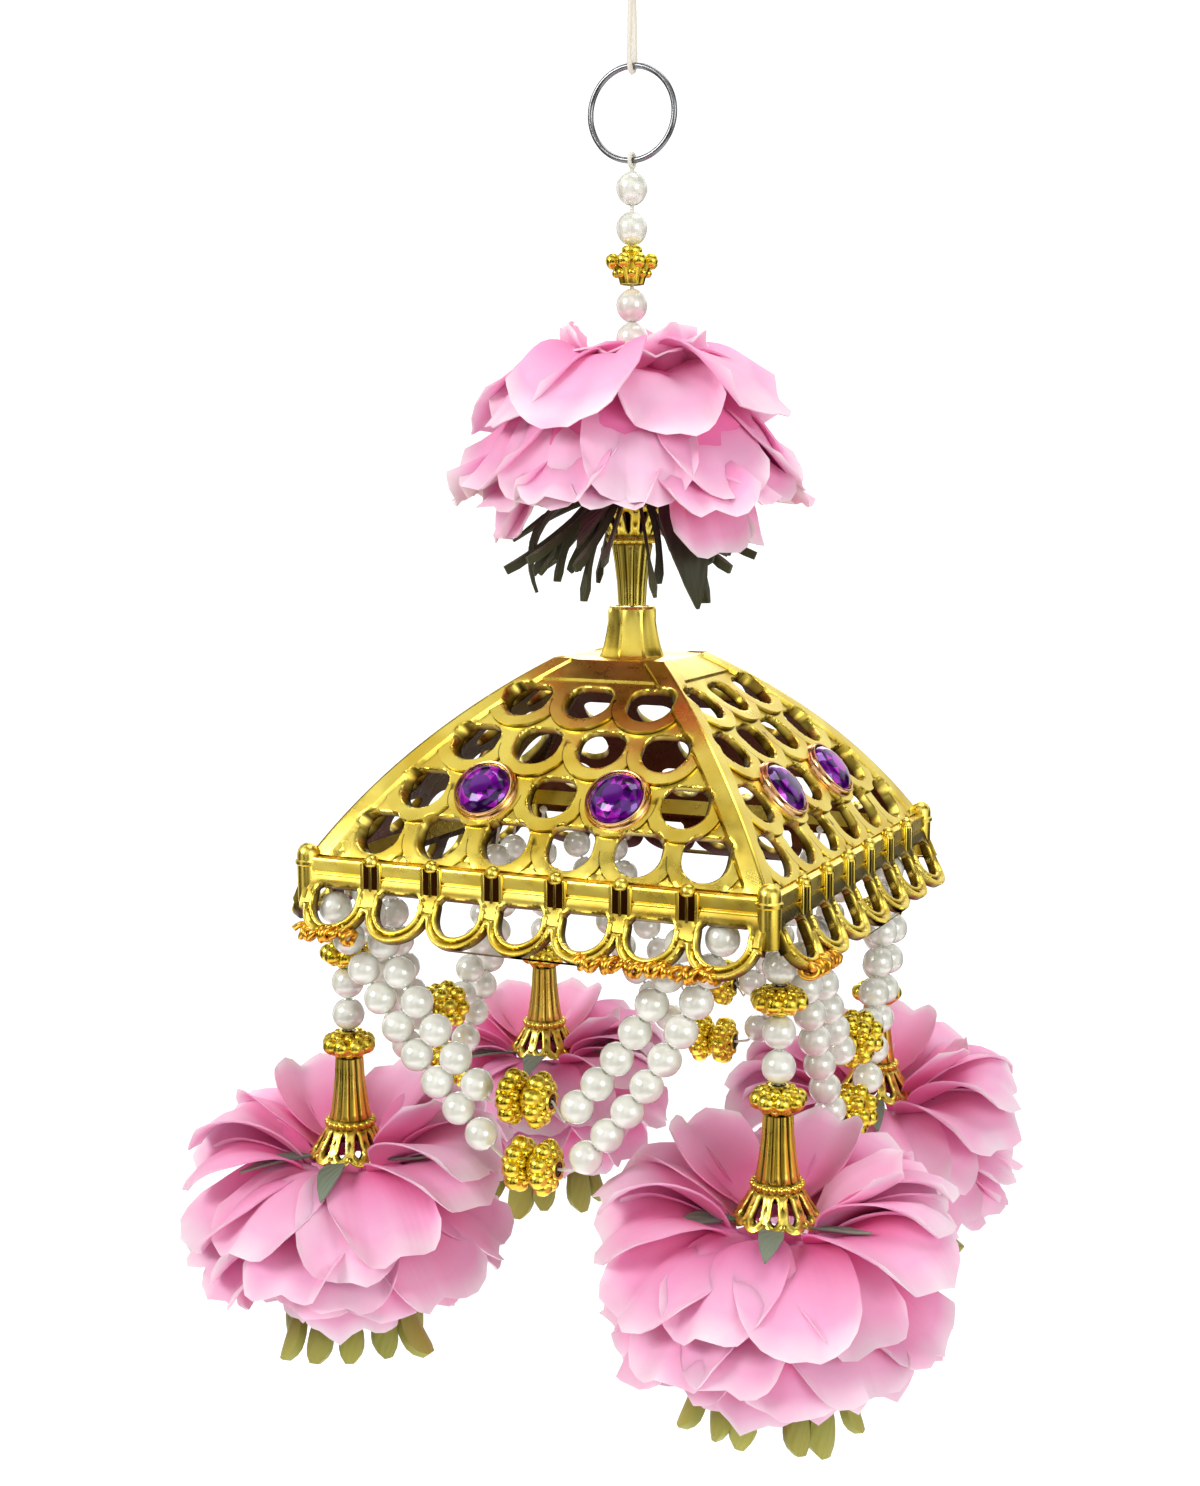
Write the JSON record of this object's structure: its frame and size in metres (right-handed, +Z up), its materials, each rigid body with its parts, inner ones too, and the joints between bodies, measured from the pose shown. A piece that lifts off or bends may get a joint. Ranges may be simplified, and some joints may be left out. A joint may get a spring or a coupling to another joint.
{
  "type": "hanging jhoomar ornament",
  "caption": "Square pierced gold canopy on a ring and pearl string, with pearl swags under its faces and a pink cloth flower drop at each corner.",
  "frame": {"origin": "inside top of the hanging ring's wire, where the ornament hangs", "axes": "+Z up along the string; the canopy's faces look along -Y (front), +X, +Y and -X"},
  "size_m": [0.1517, 0.1418, 0.2746],
  "materials": {
    "gold": "bright gold plating on cast plastic",
    "steel": "plain wire",
    "thread": "white cotton thread",
    "pearl": "pearl lacquer on plastic beads",
    "petal": "pink polyester petals",
    "leaf": "stiffened green cloth leaves",
    "stone": "purple cut acrylic stone"
  },
  "bodies": {
    "ring": {"hang_ring": "steel", "tie_thread": "thread", "tie_knot": "thread"},
    "front_drop": {"front_drop_thread": "thread", "front_drop_pearls": "pearl", "front_drop_rosettes": "gold", "front_drop_cone": "gold", "front_drop_leaves": "leaf", "front_drop_flower": "petal"},
    "left_drop": {"left_drop_thread": "thread", "left_drop_pearls": "pearl", "left_drop_rosettes": "gold", "left_drop_cone": "gold", "left_drop_leaves": "leaf", "left_drop_flower": "petal"},
    "back_drop": {"back_drop_thread": "thread", "back_drop_pearls": "pearl", "back_drop_rosettes": "gold", "back_drop_cone": "gold", "back_drop_leaves": "leaf", "back_drop_flower": "petal"},
    "right_drop": {"right_drop_thread": "thread", "right_drop_pearls": "pearl", "right_drop_rosettes": "gold", "right_drop_cone": "gold", "right_drop_leaves": "leaf", "right_drop_flower": "petal"},
    "hanging": {"top_rosette": "gold", "top_cone": "gold", "turret": "gold", "canopy": "gold", "top_thread": "thread", "top_pearls": "pearl", "top_flower": "petal", "top_leaves": "leaf", "front_stone_1": "stone", "front_stone_2": "stone", "front_swag_upper": "pearl", "front_swag_lower": "pearl", "front_swag_thread": "thread", "front_swag_rosettes": "gold", "right_stone_1": "stone", "right_stone_2": "stone", "right_swag_upper": "pearl", "right_swag_lower": "pearl", "right_swag_thread": "thread", "right_swag_rosettes": "gold", "back_stone_1": "stone", "back_stone_2": "stone", "back_swag_upper": "pearl", "back_swag_lower": "pearl", "back_swag_thread": "thread", "back_swag_rosettes": "gold", "left_stone_1": "stone", "left_stone_2": "stone", "left_swag_upper": "pearl", "left_swag_lower": "pearl", "left_swag_thread": "thread", "left_swag_rosettes": "gold"}
  },
  "joints": [
    {"name": "ring_swing", "type": "hinge", "parent": "ring", "child": "hanging", "pos_m": [0, 0, -0.0176], "axis": [1, 0, 0], "range_deg": [-40, 40]},
    {"name": "front_drop_swing", "type": "hinge", "parent": "hanging", "child": "front_drop", "pos_m": [0.046, -0.0365, -0.15855], "axis": [-0.7071, -0.7071, 0], "range_deg": [0, 18]},
    {"name": "left_drop_swing", "type": "hinge", "parent": "hanging", "child": "left_drop", "pos_m": [-0.046, -0.038, -0.15855], "axis": [-0.7071, 0.7071, 0], "range_deg": [0, 18]},
    {"name": "back_drop_swing", "type": "hinge", "parent": "hanging", "child": "back_drop", "pos_m": [-0.0429, 0.0444, -0.15855], "axis": [0.7071, 0.7071, 0], "range_deg": [0, 18]},
    {"name": "right_drop_swing", "type": "hinge", "parent": "hanging", "child": "right_drop", "pos_m": [0.04, 0.044, -0.15855], "axis": [0.7071, -0.7071, 0], "range_deg": [0, 18]}
  ]
}
